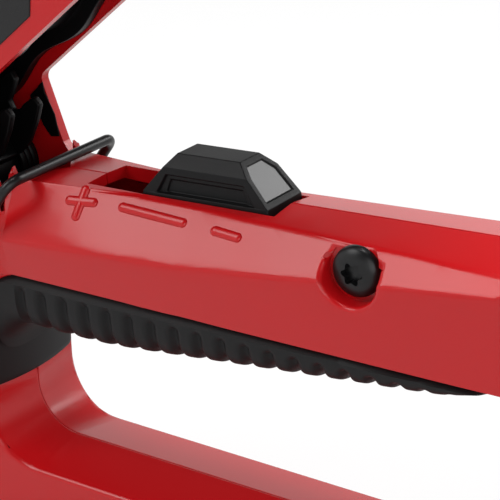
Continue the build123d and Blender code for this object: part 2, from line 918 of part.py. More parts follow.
def grip_outline(inset):
    """Side view of the grip. Its lower line is raised by inset to the groove floor."""
    front = finger_front - grip_recess + seat_fit
    side_face(
        [
            (front, grip_foot + seat_fit),
            (finger_front - inset, grip_foot + seat_fit),
            (finger_front - inset, grip_bottom_front + inset),
            (grip_bottom_x, grip_bottom_front + inset),
            (grip_taper_x, grip_taper_z + inset),
            (grip_end, bar_bottom(grip_end) - seat_fit),
            (front, bar_bottom(front) - seat_fit),
        ],
        [
            0, 0, grip_toe_corner, grip_sweep, grip_tail_corner, 0, finger_corner - seat_fit,
        ],
    )


def grip_pad():
    """Pad as wide as the bar, down the front of the finger opening."""
    with BuildSketch(Plane.XZ) as pad:
        grip_outline(0)
        with Locations((finger_front / 2, grip_waist)):
            Rectangle(finger_front, 2 * grip_waist, mode=Mode.INTERSECT)
    extrude(pad.sketch, amount=grip_half, both=True)


def grip_section(inset):
    """Cross section under the bar, which narrows towards the lower edge."""
    half = grip_half - inset
    floor_half = grip_floor_half - inset
    with BuildSketch(Plane.YZ.offset(finger_front - grip_recess)) as section:
        with BuildLine():
            Polyline(
                (half, 2 * grip_waist), (half, grip_waist), (floor_half, grip_floor), (floor_half, 0),
                (-floor_half, 0), (-floor_half, grip_floor), (-half, grip_waist), (-half, 2 * grip_waist),
                close=True,
            )
        make_face()
    extrude(section.sketch, amount=grip_end, mode=Mode.INTERSECT)


with BuildPart() as grip_core:
    with BuildSketch(Plane.XZ):
        grip_outline(grip_groove)
    extrude(amount=head_half, both=True)
    grip_section(grip_groove)

with BuildPart() as grip_lands:
    block(0, grip_first, -head_half, head_half, 0, head_top)
    for index in range(grip_ribs):
        x = grip_first + index * grip_pitch + grip_pitch / 2
        block(x - grip_rib / 2, x + grip_rib / 2, -head_half, head_half, 0, head_top)
    with BuildSketch(Plane.XZ):
        with BuildLine():
            Polyline(
                (0, bar_bottom(0) - grip_band),
                (2 * grip_end, bar_bottom(2 * grip_end) - grip_band),
                (2 * grip_end, head_top),
                (0, head_top),
                close=True,
            )
        make_face()
    extrude(amount=head_half, both=True)

with BuildPart() as rubber_grip:
    with BuildSketch(Plane.XZ):
        grip_outline(0)
    extrude(amount=head_half, both=True)
    grip_section(0)
    add(grip_lands.part, mode=Mode.INTERSECT)
    add(grip_core.part)
    grip_pad()
rubber_grip.part.label = "rubber_grip"
export_step(rubber_grip.part, "parts/rubber_grip.step")

# Magazine

core_high = staple_high - staple_crown - seat_fit
strip_rear = strip_front + strip_length

with BuildPart() as magazine_channel:
    block(channel_front, channel_rear, -channel_half, channel_half, channel_low, channel_high)
    inner_half = channel_half - channel_wall
    floor_top = channel_low + channel_wall
    block(
        channel_front, channel_rear, -inner_half, inner_half,
        floor_top, channel_high - channel_wall, Mode.SUBTRACT,
    )
magazine_channel.part.label = "magazine_channel"
export_step(magazine_channel.part, "parts/magazine_channel.step")

with BuildPart() as staple_strip:
    block(strip_front, strip_rear, -staple_half, staple_half, staple_low, staple_high)
    leg_inside = staple_half - staple_wire
    block(
        strip_front, strip_rear, -leg_inside, leg_inside,
        0, staple_high - staple_crown, Mode.SUBTRACT,
    )
staple_strip.part.label = "staple_strip"
export_step(staple_strip.part, "parts/staple_strip.step")


def heel_x(z):
    return heel_bottom + (z - casing_bottom) * (heel_top - heel_bottom) / (head_top - casing_bottom)


cap_front_low = heel_x(casing_bottom) + cap_gap
core_rear = (cap_front_low + cap_rear) / 2
rod_end = core_rear + pusher_plate

with BuildPart() as staple_rail:
    block(core_front, core_rear, -core_half, core_half, core_low, core_high)
    core_inside = core_half - core_wall
    block(core_front, core_rear, -core_inside, core_inside, 0, core_high - core_wall, Mode.SUBTRACT)
    block(core_front, core_front + core_plug, -core_half, core_half, core_low, core_high)
    block(
        core_front, core_front + core_plug, -core_inside, core_inside,
        floor_top + run_fit, core_high,
    )
    with BuildSketch(Plane.YZ.offset(core_front)) as rod_bore:
        with Locations((0, rod_height)):
            Circle(rod_radius + run_fit)
    extrude(rod_bore.sketch, amount=core_plug, mode=Mode.SUBTRACT)
staple_rail.part.label = "staple_rail"
export_step(staple_rail.part, "parts/staple_rail.step")

with BuildPart() as pusher_rod:
    with BuildSketch(Plane.YZ.offset(core_front)):
        with Locations((0, rod_height)):
            Circle(rod_radius)
    extrude(amount=rod_end - core_front)
pusher_rod.part.label = "pusher_rod"
export_step(pusher_rod.part, "parts/pusher_rod.step")

pusher_front = strip_rear + seat_fit
pusher_rear = pusher_front + pusher_length

with BuildPart() as pusher:
    pusher_low = core_low - slide_fit - pusher_plate
    block(pusher_front, pusher_rear, -staple_half, staple_half, pusher_low, staple_high)
    saddle = core_half + slide_fit
    block(
        pusher_front, pusher_rear, -saddle, saddle,
        core_low - slide_fit, core_high + seat_fit / 2, Mode.SUBTRACT,
    )
    tongue = core_inside - slide_fit
    block(pusher_front, pusher_rear, -tongue, tongue, pusher_low, core_high - core_wall - slide_fit)
    with BuildSketch(Plane.YZ.offset(pusher_front)) as pusher_bore:
        with Locations((0, rod_height)):
            Circle(rod_radius + slide_fit / 2)
    extrude(pusher_bore.sketch, amount=pusher_length, mode=Mode.SUBTRACT)
pusher.part.label = "pusher"
export_step(pusher.part, "parts/pusher.step")

with BuildPart() as pusher_spring:
    with BuildSketch(Plane.YZ.offset(pusher_rear + seat_fit)):
        with Locations((0, rod_height)):
            Circle(spring_outer)
            Circle(spring_inner, mode=Mode.SUBTRACT)
    extrude(amount=cap_front_low - pusher_rear - 2 * seat_fit)
pusher_spring.part.label = "pusher_spring"
export_step(pusher_spring.part, "parts/pusher_spring.step")

with BuildPart() as rail_end_cap:
    with BuildSketch(Plane.XZ):
        side_face(
            [
                (cap_front_low, 0),
                (heel_x(cap_high) + cap_gap, cap_high),
                (cap_rear, cap_high),
                (cap_rear, 0),
            ],
            [0, 0, cap_corner, cap_edge],
        )
    extrude(amount=cap_half, both=True)
    pocket_half = core_half + seat_fit
    pocket_low = core_low - seat_fit
    pocket_high = core_high + seat_fit
    pocket_end = core_rear + seat_fit
    block(0, pocket_end, -pocket_half, pocket_half, pocket_low, pocket_high, Mode.SUBTRACT)
    with BuildSketch(Plane.YZ) as rod_socket:
        with Locations((0, rod_height)):
            Circle(rod_radius + run_fit)
    extrude(rod_socket.sketch, amount=rod_end + run_fit, mode=Mode.SUBTRACT)
rail_end_cap.part.label = "rail_end_cap"
export_step(rail_end_cap.part, "parts/rail_end_cap.step")

# Casing screws share one shape

with BuildPart() as casing_screws:
    for x, z in screw_places:
        cross_bar(x, z, screw_head_radius, screw_seat_y - screw_head_height, screw_seat_y)
        cross_bar(x, z, screw_radius, screw_seat_y, screw_end)
casing_screws.part.label = "casing_screws"
export_step(casing_screws.part, "parts/casing_screws.step")
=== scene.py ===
from math import copysign, cos, exp, pi, radians, sin, sqrt

import bmesh
import bpy
from mathutils import Matrix, Vector


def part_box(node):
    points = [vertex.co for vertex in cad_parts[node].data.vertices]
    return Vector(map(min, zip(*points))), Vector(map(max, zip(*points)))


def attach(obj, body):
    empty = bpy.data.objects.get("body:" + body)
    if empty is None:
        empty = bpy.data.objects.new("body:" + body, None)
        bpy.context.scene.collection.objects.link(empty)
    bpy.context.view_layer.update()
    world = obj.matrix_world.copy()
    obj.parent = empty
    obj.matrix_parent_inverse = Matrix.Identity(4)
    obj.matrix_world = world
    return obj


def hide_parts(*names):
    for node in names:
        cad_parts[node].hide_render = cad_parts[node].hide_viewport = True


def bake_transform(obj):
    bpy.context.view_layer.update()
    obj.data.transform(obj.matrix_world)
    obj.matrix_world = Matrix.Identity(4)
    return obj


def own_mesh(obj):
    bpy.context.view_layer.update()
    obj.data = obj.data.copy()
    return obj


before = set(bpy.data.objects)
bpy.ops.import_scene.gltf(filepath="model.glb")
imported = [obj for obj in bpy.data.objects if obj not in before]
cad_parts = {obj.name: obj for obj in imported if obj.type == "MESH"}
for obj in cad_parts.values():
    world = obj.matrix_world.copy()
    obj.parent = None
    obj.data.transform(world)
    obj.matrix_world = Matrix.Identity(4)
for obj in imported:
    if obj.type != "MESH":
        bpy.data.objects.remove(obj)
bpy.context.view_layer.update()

# Drive spring: three hardened steel leaves in a pack, held at the rear by a steel ring under the
# deck screw and pressed down by the slider's shoe. In the tool their front ends bend up with the
# driver and throw it down again; here each leaf is only cut across in steps and stays straight.

MM = 0.001
MERGE_GAP = 0.002 * MM
FLAT_TURN = radians(0.06)
EDGE_TURN = radians(25)
SHARP_TURN = radians(30)
LINES_ALONG = 60
LINE_SHADE = 0.72
LINE_GLOSS = 0.3
LINE_DEPTH = 0.01 * MM
STEEL_EDGE = 0.18 * MM
LEAF_HELD = 46.0 * MM
LEAF_CUTS = 12
LEAF_CUT_STEP = 4.0 * MM
CUT_REACH = 0.01 * MM


def brushed_steel(name, colour, roughness, lines):
    """Bare steel with fine drawn lines along the tool and cloudy patches in its gloss."""
    material = bpy.data.materials.new(name)
    material.use_nodes = True
    nodes, links = material.node_tree.nodes, material.node_tree.links
    shader = nodes["Principled BSDF"]
    shader.inputs["Metallic"].default_value = 1
    place = nodes.new("ShaderNodeTexCoord")
    stretch = nodes.new("ShaderNodeMapping")
    stretch.inputs["Scale"].default_value = (LINES_ALONG, 1 / lines, 1 / lines)
    drawn = nodes.new("ShaderNodeTexNoise")
    drawn.inputs["Scale"].default_value = 1
    drawn.inputs["Detail"].default_value = 4
    links.new(place.outputs["Object"], stretch.inputs["Vector"])
    links.new(stretch.outputs["Vector"], drawn.inputs["Vector"])
    tint = nodes.new("ShaderNodeValToRGB")
    tint.color_ramp.elements[0].color = [c * LINE_SHADE for c in colour] + [1]
    tint.color_ramp.elements[1].color = list(colour) + [1]
    links.new(drawn.outputs["Fac"], tint.inputs["Fac"])
    links.new(tint.outputs["Color"], shader.inputs["Base Color"])
    gloss = nodes.new("ShaderNodeMapRange")
    gloss.inputs["To Min"].default_value = roughness * (1 - LINE_GLOSS)
    gloss.inputs["To Max"].default_value = roughness * (1 + LINE_GLOSS)
    links.new(drawn.outputs["Fac"], gloss.inputs["Value"])
    links.new(gloss.outputs["Result"], shader.inputs["Roughness"])
    bump = nodes.new("ShaderNodeBump")
    bump.inputs["Strength"].default_value = 0.5
    bump.inputs["Distance"].default_value = LINE_DEPTH
    links.new(drawn.outputs["Fac"], bump.inputs["Height"])
    links.new(bump.outputs["Normal"], shader.inputs["Normal"])
    return material


def merged_copy(node):
    """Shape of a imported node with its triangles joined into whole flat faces."""
    shape = bmesh.new()
    shape.from_mesh(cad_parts[node].data)
    bmesh.ops.remove_doubles(shape, verts=shape.verts, dist=MERGE_GAP)
    bmesh.ops.dissolve_limit(shape, angle_limit=FLAT_TURN, verts=shape.verts, edges=shape.edges)
    return shape


def middle(edge):
    return (edge.verts[0].co + edge.verts[1].co) / 2


def any_edge(edge):
    return True


def round_edges(shape, radius, wanted=any_edge, segments=2, clamp=True):
    """Rounds the edges that are wanted and not nearly flat."""
    edges = []
    for edge in shape.edges:
        if edge.is_manifold and edge.calc_face_angle() > EDGE_TURN and wanted(edge):
            edges.append(edge)
    bmesh.ops.bevel(
        shape, geom=edges, offset=radius, offset_type="OFFSET", segments=segments,
        profile=0.5, affect="EDGES", clamp_overlap=clamp, material=-1,
    )


def make_piece(shape, name, materials, body, slot, *nodes):
    """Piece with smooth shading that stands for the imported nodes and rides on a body, if it has one."""
    mesh = bpy.data.meshes.new(name)
    shape.to_mesh(mesh)
    shape.free()
    mesh.shade_smooth()
    mesh.set_sharp_from_angle(angle=SHARP_TURN)
    for material in materials:
        mesh.materials.append(material)
    piece = bpy.data.objects.new(name, mesh)
    bpy.context.scene.collection.objects.link(piece)
    even = piece.modifiers.new("even_shading", "WEIGHTED_NORMAL")
    even.keep_sharp = True
    if body:
        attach(piece, body)
    if nodes:
        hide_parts(*nodes)
    return piece


spring_steel = brushed_steel("spring_steel", (0.34, 0.34, 0.37), roughness=0.32, lines=0.25 * MM)
bright_steel = brushed_steel("bright_steel", (0.58, 0.58, 0.6), roughness=0.28, lines=0.2 * MM)
for node in ("main_leaf_spring", "second_leaf_spring", "third_leaf_spring"):
    leaf = merged_copy(node)
    for count in range(LEAF_CUTS):
        bmesh.ops.bisect_plane(
            leaf, geom=leaf.verts[:] + leaf.edges[:] + leaf.faces[:], dist=CUT_REACH,
            plane_co=(LEAF_HELD - count * LEAF_CUT_STEP, 0, 0), plane_no=(1, 0, 0),
        )
    round_edges(leaf, STEEL_EDGE)
    strip = make_piece(leaf, node + "_strip", [spring_steel], None, "spring_steel", node)
    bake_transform(strip)
ring = merged_copy("leaf_seat")
round_edges(ring, STEEL_EDGE)
make_piece(ring, "leaf_seat_ring", [bright_steel], "casing", "bright_steel", "leaf_seat")

# Driver, nose plate and bumper: the ground steel blade that strikes the staple, the plate that it
# runs behind, and the black rubber block that stops its shoulders.

NOSE_EDGE = 0.5 * MM
BUMPER_EDGE = 0.6 * MM
CLOUD_SCALE = 60
CLOUD_GLOSS = 0.15


def moulded_plastic(name, colour, roughness, grain, depth, specular=0.5, spread=0.06):
    """Plastic, rubber or paint with a fine skin and a slightly uneven tint and gloss."""
    material = bpy.data.materials.new(name)
    material.use_nodes = True
    nodes, links = material.node_tree.nodes, material.node_tree.links
    shader = nodes["Principled BSDF"]
    shader.inputs["Specular IOR Level"].default_value = specular
    place = nodes.new("ShaderNodeTexCoord")
    cloud = nodes.new("ShaderNodeTexNoise")
    cloud.inputs["Scale"].default_value = CLOUD_SCALE
    cloud.inputs["Detail"].default_value = 4
    links.new(place.outputs["Object"], cloud.inputs["Vector"])
    tint = nodes.new("ShaderNodeValToRGB")
    tint.color_ramp.elements[0].color = [c * (1 - spread) for c in colour] + [1]
    tint.color_ramp.elements[1].color = [c * (1 + spread) for c in colour] + [1]
    links.new(cloud.outputs["Fac"], tint.inputs["Fac"])
    links.new(tint.outputs["Color"], shader.inputs["Base Color"])
    gloss = nodes.new("ShaderNodeMapRange")
    gloss.inputs["To Min"].default_value = roughness * (1 - CLOUD_GLOSS)
    gloss.inputs["To Max"].default_value = roughness * (1 + CLOUD_GLOSS)
    links.new(cloud.outputs["Fac"], gloss.inputs["Value"])
    links.new(gloss.outputs["Result"], shader.inputs["Roughness"])
    skin = nodes.new("ShaderNodeTexNoise")
    skin.inputs["Scale"].default_value = 1 / grain
    skin.inputs["Detail"].default_value = 3
    links.new(place.outputs["Object"], skin.inputs["Vector"])
    bump = nodes.new("ShaderNodeBump")
    bump.inputs["Strength"].default_value = 1
    bump.inputs["Distance"].default_value = depth
    links.new(skin.outputs["Fac"], bump.inputs["Height"])
    links.new(bump.outputs["Normal"], shader.inputs["Normal"])
    return material


driver = merged_copy("driver")
round_edges(driver, STEEL_EDGE)
make_piece(driver, "driver_blade", [bright_steel], "driver", "bright_steel", "driver")
plate = merged_copy("nose_plate")
round_edges(plate, NOSE_EDGE, segments=3)
make_piece(plate, "nose_facing", [bright_steel], "casing", "bright_steel", "nose_plate")
grip_rubber = moulded_plastic(
    "grip_rubber", (0.0095, 0.0095, 0.01), roughness=0.55,
    grain=0.16 * MM, depth=0.015 * MM, specular=0.25,
)
stop = merged_copy("bumper")
round_edges(stop, BUMPER_EDGE, segments=3)
make_piece(stop, "bumper_block", [grip_rubber], "casing", "black_plastic", "bumper")

# Magazine: a steel channel in the lower rail, and a core rail with a black plastic cap that pulls
# out to the rear. A sprung steel follower on a rod feeds the strip of staples.

CAP_EDGE = 0.8 * MM
STAPLE_PITCH = 0.72 * MM
STAPLE_GAP = 0.05 * MM
STAPLE_WIRE = 0.7 * MM
FEED_WIRE = 0.45 * MM
FEED_TURNS = 46
channel = merged_copy("magazine_channel")
round_edges(channel, STEEL_EDGE)
make_piece(channel, "magazine_track", [bright_steel], "casing", "bright_steel", "magazine_channel")
for node, body in (("staple_rail", "staple_rail"), ("pusher_rod", "staple_rail"), ("pusher", "pusher")):
    steel = merged_copy(node)
    round_edges(steel, STEEL_EDGE)
    make_piece(steel, node + "_steel", [bright_steel], body, "bright_steel", node)
satin_black = moulded_plastic(
    "satin_black", (0.011, 0.011, 0.012), roughness=0.42,
    grain=0.3 * MM, depth=0.01 * MM, specular=0.4,
)
cap = merged_copy("rail_end_cap")
round_edges(cap, CAP_EDGE, segments=4)
make_piece(cap, "rail_pull_cap", [satin_black], "staple_rail", "black_plastic", "rail_end_cap")

strip_low, strip_high = [Vector(corner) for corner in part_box("staple_strip")]
left_inside, right_inside = strip_low.y + STAPLE_WIRE, strip_high.y - STAPLE_WIRE
crown_inside = strip_high.z - STAPLE_WIRE
staple_outline = (
    (strip_low.y, strip_low.z), (strip_low.y, strip_high.z),
    (strip_high.y, strip_high.z), (strip_high.y, strip_low.z),
    (right_inside, strip_low.z), (right_inside, crown_inside),
    (left_inside, crown_inside), (left_inside, strip_low.z),
)
staples = bmesh.new()
for count in range(int((strip_high.x - strip_low.x) / STAPLE_PITCH)):
    x = strip_low.x + count * STAPLE_PITCH
    face = staples.faces.new([staples.verts.new((x, y, z)) for y, z in staple_outline])
    grown = bmesh.ops.extrude_face_region(staples, geom=[face], use_keep_orig=True)
    moved = [item for item in grown["geom"] if isinstance(item, bmesh.types.BMVert)]
    bmesh.ops.translate(staples, verts=moved, vec=(STAPLE_PITCH - STAPLE_GAP, 0, 0))
bmesh.ops.recalc_face_normals(staples, faces=staples.faces)
staple_wire = brushed_steel("staple_wire", (0.68, 0.68, 0.7), roughness=0.25, lines=0.2 * MM)
make_piece(staples, "staple_row", [staple_wire], "casing", "staple_wire", "staple_strip")


def fill_ends(shape):
    """Closes every open rim of a shape with one face and turns all faces outwards."""
    rims = [edge for edge in shape.edges if edge.is_boundary]
    bmesh.ops.holes_fill(shape, edges=rims, sides=0)
    bmesh.ops.recalc_face_normals(shape, faces=shape.faces)


def coil(start, axis, side, radius, wire, turns, length, steps, ring_sides):
    """Helical spring of round wire, closed at both ends."""
    shape = bmesh.new()
    made = bmesh.ops.create_circle(shape, segments=ring_sides, radius=wire)
    for vert in made["verts"]:
        vert.co = start + side * (radius + vert.co.x) + axis * vert.co.y
    bmesh.ops.spin(
        shape, geom=shape.verts[:] + shape.edges[:], cent=start, axis=axis,
        dvec=axis * (length / (turns * steps)), angle=turns * 2 * pi, steps=turns * steps,
    )
    fill_ends(shape)
    return shape


feed_low, feed_high = [Vector(corner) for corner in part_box("pusher_spring")]
feed_radius = (feed_high.z - feed_low.z) / 2 - FEED_WIRE
feed_start = Vector((feed_low.x + FEED_WIRE, 0, (feed_low.z + feed_high.z) / 2))
feed_length = feed_high.x - feed_low.x - 2 * FEED_WIRE
feed = coil(
    feed_start, Vector((1, 0, 0)), Vector((0, 0, 1)), feed_radius, FEED_WIRE,
    FEED_TURNS, feed_length, steps=16, ring_sides=8,
)
feed_spring = make_piece(
    feed, "feed_spring", [spring_steel], "staple_rail", "spring_steel", "pusher_spring",
)
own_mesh(feed_spring)

# Casing: two half shells moulded in glossy red plastic that meet on the middle plane. A soft crease
# runs along each side of the bar. Every outer edge has a small radius, and the joint is a fine groove.

SHELL_RED = (0.6, 0.006, 0.009)
CREASE = ((38.0, 69.8), (78.0, 73.1), (141.0, 82.1), (170.0, 85.3))
CREASE_HALF = 15.0
CREASE_SOFT = 0.3
CREASE_ROWS = (-2.0, -1.1, -0.5, 0.5, 1.1, 2.0)
DECK_MIDDLE = 93.0
DECK_HEIGHT = 84.0
DECK_SLOPE = 0.0587
DECK_HALF = 8.7
DECK_SPREAD = 0.0714
DECK_EDGE_DROP = 1.04
DECK_EDGE_FALL = 0.0165
DECK_BAND = 1.5
DECK_SLACK = 0.1
UNDERSIDE_FRONT = 43.0
UNDERSIDE_HEIGHT = 62.2
UNDERSIDE_SLOPE = 0.018
UNDERSIDE_SLACK = 0.05
BAR_FOOT_HALF = 13.0
SLOT_HALF = 6.1
FLARE_REAR = 64.0
FLARE_RISE = 0.194
FLARE_BLEND = 6.0
SKIN_FRONT = 38.0
SKIN_REAR = 158.0
SKIN_STEP = 3.0
SKIN_RUN_OUT = 6.0
SKIN_SLACK = 0.04
SKIN_FRONT_SLACK = 0.01
RIM_RADIUS = 1.0 * MM
RIM_SHORTEST = 0.07 * MM
RIM_INNER = 10.65
RIM_SIDE_TURN = 0.62
RIM_ACROSS_TURN = 0.45
BORES = ((21, 76, 3.5), (30, 66, 1.5))
OPEN_SEAT_FRONT = 105
OPEN_SEAT_REAR = 121
OPEN_SEAT_LOW = 81.2
RAIL_FRONT = 30
RAIL_TOP = 30
RAIL_OUTER = 13
RAIL_FACING = 0.99
RAIL_FOLD_TURN = radians(2.5)
SEAM_RADIUS = 0.25 * MM
SEAM_GAP = 0.1 * MM
SEAM_SLACK = 0.001 * MM


def soft(distance, width):
    """Nearly zero below zero and nearly the distance above, blended over a width."""
    return (distance + sqrt(distance * distance + width * width)) / 2


def deck_line(x):
    return DECK_HEIGHT + (x - DECK_MIDDLE) * DECK_SLOPE


def deck_half(x, flare):
    return DECK_HALF + (x - DECK_MIDDLE) * DECK_SPREAD + flare * FLARE_RISE


def bar_underside(x):
    return UNDERSIDE_HEIGHT + (x - UNDERSIDE_FRONT) * UNDERSIDE_SLOPE


def crease_height(x):
    for (x0, z0), (x1, z1) in zip(CREASE, CREASE[1:]):
        if x <= x1:
            break
    return z0 + (z1 - z0) * (x - x0) / (x1 - x0)


def facet_halves(x, z, flare):
    """Half widths of the upper and the lower facet of the bar at a place."""
    crease = crease_height(x)
    deck_edge = deck_line(x) - DECK_EDGE_DROP - (x - DECK_MIDDLE) * DECK_EDGE_FALL
    up = (z - crease) / (deck_edge - crease)
    down = (crease - z) / (crease - bar_underside(x))
    upper = CREASE_HALF + (deck_half(x, flare) - CREASE_HALF) * up
    lower = CREASE_HALF - (CREASE_HALF - BAR_FOOT_HALF) * down
    return upper, lower


def on_skin(vert):
    """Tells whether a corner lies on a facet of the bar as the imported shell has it."""
    x, y, z = vert.co / MM
    if not SKIN_FRONT - SKIN_FRONT_SLACK < x < SKIN_REAR:
        return False
    if not bar_underside(x) - UNDERSIDE_SLACK < z < deck_line(x) - DECK_SLACK:
        return False
    return abs(abs(y) - min(facet_halves(x, z, max(0, FLARE_REAR - x)))) < SKIN_SLACK


def skin_half(x, z):
    """Half width of the bar with its crease rounded and its flare blended in."""
    upper, lower = facet_halves(x, z, soft(FLARE_REAR - x, FLARE_BLEND))
    front, rear = (x - SKIN_FRONT) / SKIN_RUN_OUT, (SKIN_REAR - x) / SKIN_RUN_OUT
    ends = min(1, max(0, front), max(0, rear))
    return upper - soft(upper - lower, 2 * CREASE_SOFT * ends)


def lay_skin(shape):
    """Cuts the bar's facets in a grid and lays them on the rounded outside of the bar."""
    cuts = []
    for (x0, z0), (x1, z1) in zip(CREASE, CREASE[1:]):
        normal = Vector((z0 - z1, 0, x1 - x0)).normalized()
        for row in CREASE_ROWS:
            cuts.append((x0, x1, Vector((x0, 0, z0 + row)), normal))
    for count in range(int((SKIN_REAR - SKIN_FRONT) / SKIN_STEP)):
        x = SKIN_FRONT + (count + 1) * SKIN_STEP
        cuts.append((SKIN_FRONT, SKIN_REAR, Vector((x, 0, 0)), Vector((1, 0, 0))))
    for x0, x1, place, normal in cuts:
        skin = {vert for vert in shape.verts if on_skin(vert)}
        faces = []
        for face in shape.faces:
            if x0 < face.calc_center_median().x / MM < x1 and skin.issuperset(face.verts):
                faces.append(face)
        edges = {edge for face in faces for edge in face.edges}
        verts = {vert for face in faces for vert in face.verts}
        bmesh.ops.bisect_plane(
            shape, geom=list(verts) + list(edges) + faces, dist=CUT_REACH,
            plane_co=place * MM, plane_no=normal,
        )
    for vert in shape.verts:
        x, y, z = vert.co / MM
        deck = deck_line(x)
        if on_skin(vert):
            vert.co.y = copysign(skin_half(x, z), y) * MM
        elif SKIN_FRONT < x < SKIN_REAR and deck - DECK_BAND < z < deck + DECK_SLACK:
            flare = max(0, FLARE_REAR - x)
            share = (abs(y) - SLOT_HALF) / (deck_half(x, flare) - SLOT_HALF)
            growth = FLARE_RISE * (soft(FLARE_REAR - x, FLARE_BLEND) - flare)
            vert.co.y += copysign(growth, y) * MM * min(1, max(0, share))


def is_outer_rim(edge):
    """Edge round the outside of a shell, apart from the bores and the deck screw's open seat."""
    x, y, z = middle(edge) / MM
    turn = sorted(face.normal.y * copysign(1, y) for face in edge.link_faces)
    if not edge.is_convex or abs(y) < RIM_INNER:
        return False
    if turn[1] < RIM_SIDE_TURN or abs(turn[0]) > RIM_ACROSS_TURN:
        return False
    if any(max(abs(x - bore_x), abs(z - bore_z)) < reach for bore_x, bore_z, reach in BORES):
        return False
    return not (OPEN_SEAT_FRONT < x < OPEN_SEAT_REAR and z > OPEN_SEAT_LOW)


def is_rail_fold(edge):
    """Faint fold across the rail's outer wall, where two drafts of the mould meet."""
    x, y, z = middle(edge) / MM
    if not edge.is_manifold or abs(y) < RAIL_OUTER or x < RAIL_FRONT or z > RAIL_TOP:
        return False
    flat = all(abs(face.normal.y) > RAIL_FACING for face in edge.link_faces)
    return flat and edge.calc_face_angle() < RAIL_FOLD_TURN


def is_seam(edge):
    return max(abs(vert.co.y) for vert in edge.verts) < SEAM_SLACK


shell_red = moulded_plastic(
    "shell_red", SHELL_RED, roughness=0.24,
    grain=1.6 * MM, depth=0.003 * MM, specular=0.45, spread=0.03,
)
for side in ("left_shell", "right_shell"):
    shell = merged_copy(side)
    folds = [edge for edge in shell.edges if is_rail_fold(edge)]
    bmesh.ops.dissolve_edges(shell, edges=folds, use_verts=True)
    rims = [edge for edge in shell.edges if edge.is_manifold and is_outer_rim(edge)]
    bmesh.ops.dissolve_degenerate(shell, dist=RIM_SHORTEST, edges=rims)
    round_edges(shell, RIM_RADIUS, is_outer_rim, segments=3, clamp=False)
    round_edges(shell, SEAM_RADIUS, is_seam, clamp=False)
    for vert in shell.verts:
        if abs(vert.co.y) < SEAM_SLACK:
            vert.co.y = -SEAM_GAP if side == "left_shell" else SEAM_GAP
    lay_skin(shell)
    make_piece(shell, side + "_moulding", [shell_red], "casing", "red_shell", side)

# Power marks: a plus, a bar and a minus on the left facet, for more and less power. They are
# half-round ridges moulded in one with the red shell.

RIDGE_WIDTH = 1.9 * MM
RIDGE_HEIGHT = 0.55 * MM
MIDDLE_SLACK = 0.001
MARKS = (
    ((50.7, 78.9), (55.8, 79.3)), ((53.3, 81.0), (53.1, 76.7)),
    ((62.2, 79.6), (76.0, 79.7)), ((83.4, 79.9), (88.4, 79.9)),
)


def facet_point(x, z):
    return Vector((x, -skin_half(x, z), z)) * MM


marks = bmesh.new()
for start, end in MARKS:
    first, last = facet_point(*start), facet_point(*end)
    along = (last - first).normalized()
    rearwards = facet_point(start[0] + 1, start[1]) - first
    upwards = facet_point(start[0], start[1] + 1) - first
    out = rearwards.cross(upwards)
    out = (out - along * out.dot(along)).normalized()
    across = along.cross(out)
    made = bmesh.ops.create_uvsphere(marks, u_segments=24, v_segments=16, radius=1)
    for vert in made["verts"]:
        base = last if vert.co.x > MIDDLE_SLACK else first
        wide = (along * vert.co.x + across * vert.co.y) * RIDGE_WIDTH / 2
        vert.co = base + wide + out * vert.co.z * RIDGE_HEIGHT
bmesh.ops.recalc_face_normals(marks, faces=marks.faces)
make_piece(marks, "power_marks", [shell_red], "casing", "red_shell")

# Rubber grip: one soft black moulding pressed under the bar, with finger ribs on both sides
# and below, and a smooth pad down the front of the finger opening.

RIB_PITCH = 5.1
RIB_FIRST = 40.0
RIB_LAST = 138.0
GROOVE_DEPTH = 1.3
GROOVE_BAND = 3.4
GROOVE_HALF = 0.95
GROOVE_SHARPNESS = 2.4
GROOVE_FULL_DEPTH = 6
GROOVE_LEAD = 1
GRIP_FRONT = 33.0
GRIP_END = 140.9
GRIP_HALF = 12.95
GRIP_LEVEL = 49.8
GRIP_RISE = 0.1366
GRIP_RISE_FROM = 58.0
GRIP_RISE_BLEND = 6.0
GRIP_TAIL_RISE = 0.26
GRIP_TAIL_FROM = 130.5
GRIP_TAIL_BLEND = 3.0
GRIP_THINNEST = 0.15
GRIP_TOP_GAP = 0.1
GRIP_MERGE = 0.0005 * MM
GRIP_LIP = 1.6
LIP_DEPTH = 1.0
TOE_RADIUS = 7.0
WRAP_SHARE = 0.85
WRAP_ROUND = 0.55
PAD_FOOT = 36.1
PAD_RISE = 24.0
PAD_HALF = 13.5
PAD_CROWN = 1.9
PAD_BACK = 30.7
PAD_SIDE = 0.94
PAD_SIDE_FALL = 3
PAD_TOE = 0.03
PAD_TOE_FALL = 8


def grip_bottom(x):
    """Height of the grip's lower line: level, then rising, then running out at the rear."""
    height = GRIP_LEVEL + GRIP_RISE * soft(x - GRIP_RISE_FROM, GRIP_RISE_BLEND)
    height += GRIP_TAIL_RISE * soft(x - GRIP_TAIL_FROM, GRIP_TAIL_BLEND)
    reach = GRIP_FRONT + TOE_RADIUS - x
    if reach > 0:
        height -= TOE_RADIUS - sqrt(max(0, TOE_RADIUS ** 2 - reach ** 2))
    return min(height, bar_underside(x) - GRIP_THINNEST)


